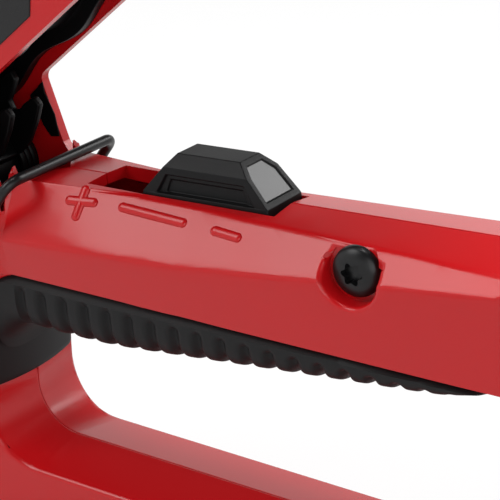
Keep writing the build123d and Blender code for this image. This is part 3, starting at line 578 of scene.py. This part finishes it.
def grip_point(along, around):
    """Point of the grip, from its front to its end and round its section."""
    x = GRIP_FRONT + (GRIP_END - GRIP_FRONT) * along
    top, bottom = bar_underside(x) - GRIP_TOP_GAP, grip_bottom(x)
    depth = top - bottom
    angle = min(1, abs(around) / WRAP_SHARE) * pi / 2
    fall = abs(cos(angle)) ** WRAP_ROUND
    spread = sin(angle) ** WRAP_ROUND
    nearest = abs(((x - RIB_FIRST) / RIB_PITCH + 0.5) % 1 - 0.5) * RIB_PITCH
    groove = 0
    if RIB_FIRST - GROOVE_LEAD < x < RIB_LAST:
        below = depth * fall - GROOVE_BAND
        away = nearest if below > 0 else sqrt(nearest ** 2 + below ** 2)
        groove = GROOVE_DEPTH * exp(-((away / GROOVE_HALF) ** GROOVE_SHARPNESS))
        groove *= min(1, depth / GROOVE_FULL_DEPTH)
    lip = GRIP_LIP * max(0, 1 - (depth * fall / LIP_DEPTH) ** 2)
    y = (GRIP_HALF - lip - groove * spread) * spread
    z = top - (depth - groove * fall) * fall
    if abs(around) > WRAP_SHARE:
        y = (GRIP_HALF - GRIP_LIP) * (1 - abs(around)) / (1 - WRAP_SHARE)
        z = top
    return Vector((x, copysign(y, around), z)) * MM


grip = bmesh.new()
bmesh.ops.create_grid(grip, x_segments=500, y_segments=120, size=1)
for vert in grip.verts:
    vert.co = grip_point((vert.co.x + 1) / 2, vert.co.y)
bmesh.ops.remove_doubles(grip, verts=grip.verts, dist=GRIP_MERGE)
fill_ends(grip)
make_piece(grip, "grip_ribs", [grip_rubber], "casing", "grip_rubber", "rubber_grip")

pad = bmesh.new()
bmesh.ops.create_grid(pad, x_segments=48, y_segments=60, size=1)
for vert in pad.verts:
    across, up = vert.co.x, (vert.co.y + 1) / 2
    x = GRIP_FRONT - PAD_CROWN * across ** 2
    x = x - PAD_SIDE_FALL * max(0, abs(across) - PAD_SIDE) - PAD_TOE_FALL * max(0, PAD_TOE - up)
    vert.co = Vector((x, PAD_HALF * across, PAD_FOOT + PAD_RISE * up)) * MM
pad_rim = [edge for edge in pad.edges if edge.is_boundary]
grown = bmesh.ops.extrude_edge_only(pad, edges=pad_rim)
for item in grown["geom"]:
    if isinstance(item, bmesh.types.BMVert):
        item.co.x = PAD_BACK * MM
fill_ends(pad)
make_piece(pad, "grip_front_pad", [grip_rubber], "casing", "grip_rubber")

# Screws: five blackened steel screws with domed heads and a six-lobed hole. They are put in from
# the left, each low in a round seat, and draw the two shells together.

SCREWS = ((112.8, 79.2), (20.0, 48.0), (23.0, 29.0), (157.0, 72.0), (152.5, 34.0))
HEAD_RADIUS = 4.6
HEAD_HEIGHT = 2.6
HEAD_RIM_SHARE = 0.2
SEAT_Y = -10.6
SHANK_RADIUS = 2.3
SHANK_END = 10.5
STAR_RADIUS = 1.8
STAR_LOBE = 0.3
STAR_DEPTH = 1.3
STAR_TAPER = 0.15
STAR_FLOOR_AT = 0.3
STAR_WALL_AT = 0.4
HEAD_RIM_AT = 0.9
STAR_LOBES = 6
SAME_POINT = 0.001 * MM


def head_point(turn, out):
    """Point of a domed screw head with a six-lobed hole in its middle."""
    star = STAR_RADIUS + STAR_LOBE * cos(STAR_LOBES * turn)
    if out < STAR_FLOOR_AT:
        radius, height = (star - STAR_TAPER) * out / STAR_FLOOR_AT, -STAR_DEPTH
    elif out < STAR_WALL_AT:
        left = (STAR_WALL_AT - out) / (STAR_WALL_AT - STAR_FLOOR_AT)
        radius, height = star - STAR_TAPER * left, -STAR_DEPTH * left
    else:
        share = min(1, (out - STAR_WALL_AT) / (HEAD_RIM_AT - STAR_WALL_AT))
        radius, height = star + (HEAD_RADIUS - star) * share, 0
    crown = sqrt(max(0, 1 - (radius / HEAD_RADIUS) ** 2))
    dome = HEAD_HEIGHT * (HEAD_RIM_SHARE + (1 - HEAD_RIM_SHARE) * crown)
    if out > HEAD_RIM_AT:
        dome *= max(0, (1 - out) / (1 - HEAD_RIM_AT))
    return radius * cos(turn), dome + height, radius * sin(turn)


screws = bmesh.new()
for x, z in SCREWS:
    seat = Vector((x, SEAT_Y, z))
    made = bmesh.ops.create_grid(screws, x_segments=72, y_segments=40, size=1)
    for vert in made["verts"]:
        right, up, high = head_point(vert.co.x * pi, (vert.co.y + 1) / 2)
        vert.co = (seat + Vector((right, -up, high))) * MM
    shank_middle = Matrix.Translation((seat + Vector((0, (SHANK_END - SEAT_Y) / 2, 0))) * MM)
    bmesh.ops.create_cone(
        screws, cap_ends=True, segments=32, radius1=SHANK_RADIUS * MM, radius2=SHANK_RADIUS * MM,
        depth=(SHANK_END - SEAT_Y) * MM, matrix=shank_middle @ Matrix.Rotation(pi / 2, 4, "X"),
    )
bmesh.ops.remove_doubles(screws, verts=screws.verts, dist=SAME_POINT)
fill_ends(screws)
black_steel = moulded_plastic(
    "black_steel", (0.006, 0.006, 0.0065), roughness=0.34,
    grain=0.9 * MM, depth=0.003 * MM, specular=0.35,
)
make_piece(screws, "star_screws", [black_steel], "casing", "black_steel", "casing_screws")

# Lever pin and return spring: a bright steel pin with rounded ends through both shells, and a coil
# of spring wire round it that opens the lever. The coil is coloured near black as painted shade.

PIN_EDGE = 0.6 * MM
RETURN_WIRE = 0.7 * MM
RETURN_TURNS = 3
pin = merged_copy("pivot_pin")
round_edges(pin, PIN_EDGE, segments=4)
make_piece(pin, "lever_pin", [bright_steel], "casing", "bright_steel", "pivot_pin")
coil_low, coil_high = [Vector(corner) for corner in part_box("return_spring")]
coil_x, coil_z = (coil_low.x + coil_high.x) / 2, (coil_low.z + coil_high.z) / 2
coil_start = Vector((coil_x, coil_low.y + RETURN_WIRE, coil_z))
coil_radius = (coil_high.x - coil_low.x) / 2 - RETURN_WIRE
coil_length = coil_high.y - coil_low.y - 2 * RETURN_WIRE
returner = coil(
    coil_start, Vector((0, 1, 0)), Vector((0, 0, 1)), coil_radius, RETURN_WIRE,
    RETURN_TURNS, coil_length, steps=40, ring_sides=12,
)
deep_black = moulded_plastic(
    "deep_black", (0.003, 0.003, 0.0033), roughness=0.4,
    grain=0.5 * MM, depth=0.006 * MM, specular=0.14,
)
# The return coil takes the near-black colour as painted shade, for it sits in the lever's shadow.
make_piece(returner, "return_coil", [deep_black], "casing", "spring_steel", "return_spring")

# Lever: a channel pressed from sheet steel and painted the same red, hinged on the pivot pin. Its
# rims are rolled so that they don't cut the hand, and a wall inside closes its rounded rear end.

LEVER_ROLL = 0.55 * MM
ROLLED_LENGTH = 2.5 * MM
LEVER_PIVOT = Vector((21.0, 0, 76.0))
LEVER_TURN = Matrix.Rotation(radians(-37.84), 4, "Y")
RIM_ELBOW = Vector((37.8, 0, 86.0))
RIM_TURN = Matrix.Rotation(radians(-3.36), 4, "Y")
END_CENTRE = Vector((103.0, 0, 5.44))
END_RADIUS = 9.0
END_SINK = 0.02
END_WALL = 2.0
END_HALF = 10.6
END_FROM = 20
END_TO = 70


def is_long(edge):
    return edge.calc_length() > ROLLED_LENGTH


def opened(closed):
    """Place of a lever's point with the lever open, from its place with the lever closed."""
    return (LEVER_PIVOT + LEVER_TURN @ (closed - LEVER_PIVOT)) * MM


def solid_prism(shape, outline, y0, y1):
    """Adds a solid between two side planes from a closed lever's outline."""
    face = shape.faces.new([shape.verts.new(opened(Vector((x, y0, z)))) for x, z in outline])
    grown = bmesh.ops.extrude_face_region(shape, geom=[face], use_keep_orig=True)
    moved = [item for item in grown["geom"] if isinstance(item, bmesh.types.BMVert)]
    bmesh.ops.translate(shape, verts=moved, vec=(0, (y1 - y0) * MM, 0))


def end_point(radius, degrees):
    """Place in the closed lever's rounded rear end, round the middle of its radius."""
    out = Vector((cos(radians(degrees)), 0, sin(radians(degrees)))) * radius
    place = RIM_ELBOW + RIM_TURN @ (END_CENTRE + out)
    return place.x, place.z


lever_red = moulded_plastic(
    "lever_red", SHELL_RED, roughness=0.24,
    grain=1.2 * MM, depth=0.003 * MM, specular=0.45, spread=0.03,
)
lever = merged_copy("lever")
round_edges(lever, LEVER_ROLL, is_long, segments=3)
end_wall = [end_point(END_RADIUS - END_SINK, turn) for turn in range(END_FROM, END_TO + 1, 2)]
end_wall += [end_point(END_RADIUS - END_WALL, turn) for turn in range(END_TO, END_FROM - 1, -10)]
solid_prism(lever, end_wall, -END_HALF, END_HALF)
bmesh.ops.recalc_face_normals(lever, faces=lever.faces)
make_piece(lever, "lever_channel", [lever_red], "lever", "red_lever", "lever")

# Lever grip panel: dark grey rubber with a coarse grain for the palm. It is inlaid flush in the
# lever's back and sides.

PANEL_EDGE = 0.25 * MM
lever_rubber = moulded_plastic(
    "lever_rubber", (0.013, 0.013, 0.0137), roughness=0.6,
    grain=0.42 * MM, depth=0.06 * MM, specular=0.4,
)
panel = merged_copy("lever_grip")
round_edges(panel, PANEL_EDGE, is_long)
make_piece(panel, "lever_panel", [lever_rubber], "lever", "lever_pad", "lever_grip")

# Liner: a black plastic trough pushed into the lever's channel, with a wavy lower edge. Two black
# cheeks on the walls inside the neck are painted shade, standing for the neck's dark inside.

LINER_START = -9.0
LINER_END = 101.5
LINER_TOP = 9.0
LINER_HALF = 10.4
LINER_WALL = 2.6
LINER_SINK = 3.2
LINER_EDGE = 0.3 * MM
WAVE_LEVEL = 1.45
WAVE_HEIGHT = 1.0
WAVE_LENGTH = 23.0
WAVE_CREST = 4.5
# Outline of the black cheeks: painted shade where the neck lies in shadow.
SHADE_CHEEK = (
    (37.8, 84.7), (36.8, 82.7), (36.1, 78.0), (34.2, 73.9),
    (32.3, 74.9), (32.1, 77.3), (32.3, 79.1), (33.0, 84.0),
)
SHADE_CHEEK_DEPTH = 0.4
liner = bmesh.new()
bmesh.ops.create_grid(liner, x_segments=120, y_segments=8, size=1)
for vert in liner.verts:
    along = LINER_START + (LINER_END - LINER_START) * (vert.co.x + 1) / 2
    low = WAVE_LEVEL + WAVE_HEIGHT * cos(2 * pi * (along - WAVE_CREST) / WAVE_LENGTH)
    inside = LINER_HALF - LINER_WALL
    section = (
        (-LINER_HALF, LINER_TOP), (-LINER_HALF, low), (-inside, low), (-inside, low + LINER_SINK),
        (inside, low + LINER_SINK), (inside, low), (LINER_HALF, low), (LINER_HALF, LINER_TOP),
    )
    corner = round((vert.co.y + 1) / 2 * len(section)) % len(section)
    across, height = section[corner]
    vert.co = opened(RIM_ELBOW + RIM_TURN @ Vector((along, across, height)))
bmesh.ops.remove_doubles(liner, verts=liner.verts, dist=SAME_POINT)
liner_rims = [edge for edge in liner.edges if edge.is_boundary]
bmesh.ops.holes_fill(liner, edges=liner_rims, sides=0)
# Black cheeks on both walls of the neck: painted shade for the shadow inside it.
for side in (-1, 1):
    solid_prism(liner, SHADE_CHEEK, side * LINER_HALF, side * (LINER_HALF - SHADE_CHEEK_DEPTH))
bmesh.ops.recalc_face_normals(liner, faces=liner.faces)
round_edges(liner, LINER_EDGE)
make_piece(liner, "lever_insert", [deep_black], "lever", "black_plastic", "lever_liner")

# Lock hook: a bracket folded from black steel sheet and fixed in the lever's neck. Its two side
# plates end in the hooks that the bail catches.

HOOK = (
    (26.0, 74.5), (32.3, 75.4), (37.2, 78.1), (39.9, 80.1), (39.6, 82.0), (38.2, 82.2), (36.3, 82.2),
    (34.3, 81.8), (33.3, 82.5), (33.6, 84.4), (35.5, 85.3), (37.9, 86.9), (37.9, 89.0), (26.0, 89.0),
)
HOOK_WEB = ((26.0, 74.5), (28.5, 74.9), (28.5, 89.0), (26.0, 89.0))
HOOK_HALF = 5.0
HOOK_SHEET = 1.6
HOOK_OVERLAP = 0.1
HOOK_EDGE = 0.45 * MM
hook = bmesh.new()
for side in (-1, 1):
    solid_prism(hook, HOOK, side * HOOK_HALF, side * (HOOK_HALF - HOOK_SHEET))
web_half = HOOK_HALF - HOOK_SHEET + HOOK_OVERLAP
solid_prism(hook, HOOK_WEB, -web_half, web_half)
bmesh.ops.recalc_face_normals(hook, faces=hook.faces)
round_edges(hook, HOOK_EDGE, segments=3)
make_piece(hook, "lock_bracket", [deep_black], "lever", "black_steel", "lock_hook")

# Lifter: a steel arm on the pivot pin, fixed between the lever's walls, coloured near black as painted
# shade for the dark inside of the lever. Its front end lifts the driver as the lever is squeezed.

lifter = merged_copy("lifter")
round_edges(lifter, STEEL_EDGE)
# Near-black colour on the steel arm: painted shade inside the lever.
make_piece(lifter, "lifter_arm", [deep_black], "lever", "bright_steel", "lifter")

# Bail: one round steel wire with black lacquer, bent to a loop that lies over the bar. Its ends are
# turned into bores in the casing, so that it swings up over the lever's hook.

wire = merged_copy("lock_bail")
make_piece(wire, "bail_wire", [black_steel], "lock_bail", "black_steel", "lock_bail")

# Power slider: a black plastic knob sliding in the deck's slot, with a stepped recess in each side
# and a smooth thumb slope at the rear. Its steel shoe bears on the leaves.

SLIDER_PLACE = Vector((0.093, 0, 0.084))
SLIDER_LEAN = Matrix.Rotation(-0.0586, 4, "Y")
SHOULDER_RISE = 1.0
SHOULDER_HALF = 5.75
SHOULDER_SLACK = 0.05
SHOULDER_DROP = 0.95
SIDE_AREA = 40 * MM ** 2
SIDE_TOP = 5
SIDE_FACING = 0.9
SIDE_STEPS = ((1.3, 0), (0.25, 0.7), (0.7, 0), (0.25, 0.5))
SIDE_FOOT = 1.5
SIDE_FOOT_RISE = 0.08
SLOPE_AREA = 20 * MM ** 2
SLOPE_FACING = 0.3
SLOPE_SHIFT = 0.056 * MM
SLOPE_STEPS = ((1.2, 0), (0.2, 0.25))
KNOB_EDGE = 0.22 * MM


def deck_rise(point):
    return (SLIDER_LEAN.inverted() @ (point - SLIDER_PLACE)).z / MM


def side_faces(shape):
    """The two long upright faces of the knob above its shoulder."""
    sides = []
    for face in shape.faces:
        rise = deck_rise(face.calc_center_median())
        if abs(face.normal.y) > SIDE_FACING and 0 < rise < SIDE_TOP and face.calc_area() > SIDE_AREA:
            sides.append(face)
    return sides


def sink_face(shape, face, width, depth):
    """Leaves a rim round a face and moves the rest of the face in."""
    bmesh.ops.inset_individual(
        shape, faces=[face], thickness=width * MM, depth=-depth * MM, use_even_offset=True,
    )


slider = merged_copy("power_slider")
for vert in slider.verts:
    level = abs(deck_rise(vert.co) - SHOULDER_RISE) < SHOULDER_SLACK
    outer = abs(abs(vert.co.y) - SHOULDER_HALF * MM) < SHOULDER_SLACK * MM
    if level and outer:
        vert.co += SLIDER_LEAN @ Vector((0, 0, -SHOULDER_DROP * MM))
for width, depth in SIDE_STEPS:
    for face in side_faces(slider):
        sink_face(slider, face, width, depth)
        for vert in face.verts:
            if deck_rise(vert.co) < SIDE_FOOT:
                rise = SIDE_FOOT_RISE - deck_rise(vert.co)
                vert.co += SLIDER_LEAN @ Vector((0, 0, rise * MM))
slopes = []
for face in slider.faces:
    if min(face.normal.x, face.normal.z) > SLOPE_FACING and face.calc_area() > SLOPE_AREA:
        slopes.append(face)
for vert in set(slopes[0].verts) & set(slopes[1].verts):
    vert.co.x += SLOPE_SHIFT
slope = bmesh.utils.face_join(slopes)
for width, depth in SLOPE_STEPS:
    sink_face(slider, slope, width, depth)
slope.material_index = 1
round_edges(slider, KNOB_EDGE)
slider_black = moulded_plastic(
    "slider_black", (0.005, 0.005, 0.0055), roughness=0.45,
    grain=0.3 * MM, depth=0.02 * MM, specular=0.22,
)
slope_black = moulded_plastic(
    "slope_black", (0.008, 0.008, 0.0085), roughness=0.3,
    grain=0.5 * MM, depth=0.005 * MM, specular=0.5,
)
make_piece(
    slider, "slider_knob", [slider_black, slope_black], "power_slider", "black_plastic", "power_slider",
)
shoe = merged_copy("fulcrum_shoe")
round_edges(shoe, STEEL_EDGE)
make_piece(shoe, "slider_shoe", [bright_steel], "power_slider", "bright_steel", "fulcrum_shoe")

# Floor: a white paper sweep that the tool rests on. It glows white to the camera and more faintly
# in reflections, and keeps the tool's shadow.

FLOOR_SIZE = 3
FLOOR_GREY = (0.6, 0.6, 0.6, 1)
FLOOR_ROUGHNESS = 0.9
FLOOR_GLOW = 0.7
FLOOR_GLOSS = 0.3
GLOW_STRENGTH = 1.18
white = bpy.data.materials.new("white_sweep")
white.use_nodes = True
sweep_nodes, sweep_links = white.node_tree.nodes, white.node_tree.links
sweep_shader = sweep_nodes["Principled BSDF"]
sweep_shader.inputs["Base Color"].default_value = FLOOR_GREY
sweep_shader.inputs["Roughness"].default_value = FLOOR_ROUGHNESS
path = sweep_nodes.new("ShaderNodeLightPath")
gloss_share = sweep_nodes.new("ShaderNodeMath")
gloss_share.operation = "MULTIPLY"
gloss_share.inputs[1].default_value = FLOOR_GLOSS
sweep_links.new(path.outputs["Is Glossy Ray"], gloss_share.inputs[0])
clear = sweep_nodes.new("ShaderNodeMath")
clear.operation = "MAXIMUM"
sweep_links.new(path.outputs["Is Camera Ray"], clear.inputs[0])
sweep_links.new(path.outputs["Is Transmission Ray"], clear.inputs[1])
glow_share = sweep_nodes.new("ShaderNodeMath")
glow_share.operation = "MULTIPLY_ADD"
glow_share.inputs[1].default_value = FLOOR_GLOW
sweep_links.new(clear.outputs["Value"], glow_share.inputs[0])
sweep_links.new(gloss_share.outputs["Value"], glow_share.inputs[2])
glow = sweep_nodes.new("ShaderNodeEmission")
glow.inputs["Strength"].default_value = GLOW_STRENGTH
mix = sweep_nodes.new("ShaderNodeMixShader")
sweep_links.new(glow_share.outputs["Value"], mix.inputs["Fac"])
sweep_links.new(sweep_shader.outputs["BSDF"], mix.inputs[1])
sweep_links.new(glow.outputs["Emission"], mix.inputs[2])
sweep_links.new(mix.outputs["Shader"], sweep_nodes["Material Output"].inputs["Surface"])
floor_shape = bmesh.new()
bmesh.ops.create_grid(floor_shape, x_segments=1, y_segments=1, size=FLOOR_SIZE)
floor_mesh = bpy.data.meshes.new("floor")
floor_shape.to_mesh(floor_mesh)
floor_shape.free()
floor_mesh.materials.append(white)
floor = bpy.data.objects.new("floor", floor_mesh)
bpy.context.scene.collection.objects.link(floor)

# Studio: a white surround that reflects bright near the horizon and dark overhead, a broad softbox
# over the left side, a weak fill, a lamp overhead and a strip behind. Each lamp has its direction
# from the tool, its distance and size in metres, and its power in watts.

HORIZON = 0.24
OVERHEAD = 0.50
OVERHEAD_GLOSS = 0.05
SURROUND = 0.24
TOOL_CENTRE = Vector((0.085, 0, 0.07))
LAMPS = (
    ("softbox", (-0.505, -0.51, 0.695), 0.85, 0.44, 2.7),
    ("fill", (0.62, -0.60, 0.28), 0.9, 0.6, 1.8),
    ("top", (-0.10, 0.12, 0.985), 0.8, 0.3, 4.0),
    ("strip", (0.36, 0.78, 0.49), 0.8, 0.3, 1.7),
)
world = bpy.data.worlds.new("studio")
world.use_nodes = True
bpy.context.scene.world = world
sky_nodes, sky_links = world.node_tree.nodes, world.node_tree.links
sky_path = sky_nodes.new("ShaderNodeLightPath")
sky_place = sky_nodes.new("ShaderNodeTexCoord")
sky_axes = sky_nodes.new("ShaderNodeSeparateXYZ")
sky_links.new(sky_place.outputs["Generated"], sky_axes.inputs["Vector"])
sky_gloss = sky_nodes.new("ShaderNodeMapRange")
sky_gloss.inputs["From Min"].default_value = HORIZON
sky_gloss.inputs["From Max"].default_value = OVERHEAD
sky_gloss.inputs["To Min"].default_value = 1
sky_gloss.inputs["To Max"].default_value = OVERHEAD_GLOSS
sky_links.new(sky_axes.outputs["Z"], sky_gloss.inputs["Value"])
sky_clear = sky_nodes.new("ShaderNodeMath")
sky_clear.operation = "MAXIMUM"
sky_links.new(sky_path.outputs["Is Camera Ray"], sky_clear.inputs[0])
sky_links.new(sky_path.outputs["Is Transmission Ray"], sky_clear.inputs[1])
sky_soft = sky_nodes.new("ShaderNodeMix")
sky_soft.inputs["A"].default_value = SURROUND
sky_links.new(sky_path.outputs["Is Glossy Ray"], sky_soft.inputs["Factor"])
sky_links.new(sky_gloss.outputs["Result"], sky_soft.inputs["B"])
sky_level = sky_nodes.new("ShaderNodeMath")
sky_level.operation = "MAXIMUM"
sky_links.new(sky_clear.outputs["Value"], sky_level.inputs[0])
sky_links.new(sky_soft.outputs["Result"], sky_level.inputs[1])
sky_nodes["Background"].inputs["Color"].default_value = (1, 1, 1, 1)
sky_links.new(sky_level.outputs["Value"], sky_nodes["Background"].inputs["Strength"])
for name, direction, distance, size, power in LAMPS:
    lamp = bpy.data.lights.new(name, "AREA")
    lamp.size = size
    lamp.energy = power
    light = bpy.data.objects.new(name, lamp)
    light.location = TOOL_CENTRE + Vector(direction) * distance
    light.rotation_euler = (-Vector(direction)).to_track_quat("-Z", "Y").to_euler()
    bpy.context.scene.collection.objects.link(light)

# Camera: a long lens above the tool's left rear, set so that the deck, the slider and the screw fall
# where the photograph shows them.

VIEW_TURN = radians(33)
VIEW_DROP = radians(22)
VIEW_PLACE = (0.2583, -0.2682, 0.2022)
SENSOR_WIDTH = 36
LENS_LENGTH = 136.8
view = bpy.data.cameras.new("camera")
view.sensor_width = SENSOR_WIDTH
view.lens = LENS_LENGTH
camera = bpy.data.objects.new("camera", view)
camera.location = VIEW_PLACE
level_run = cos(VIEW_DROP)
look = Vector((-sin(VIEW_TURN) * level_run, cos(VIEW_TURN) * level_run, -sin(VIEW_DROP)))
camera.rotation_euler = look.to_track_quat("-Z", "Y").to_euler()
bpy.context.scene.collection.objects.link(camera)
bpy.context.scene.camera = camera
bpy.context.scene.view_settings.view_transform = "Standard"
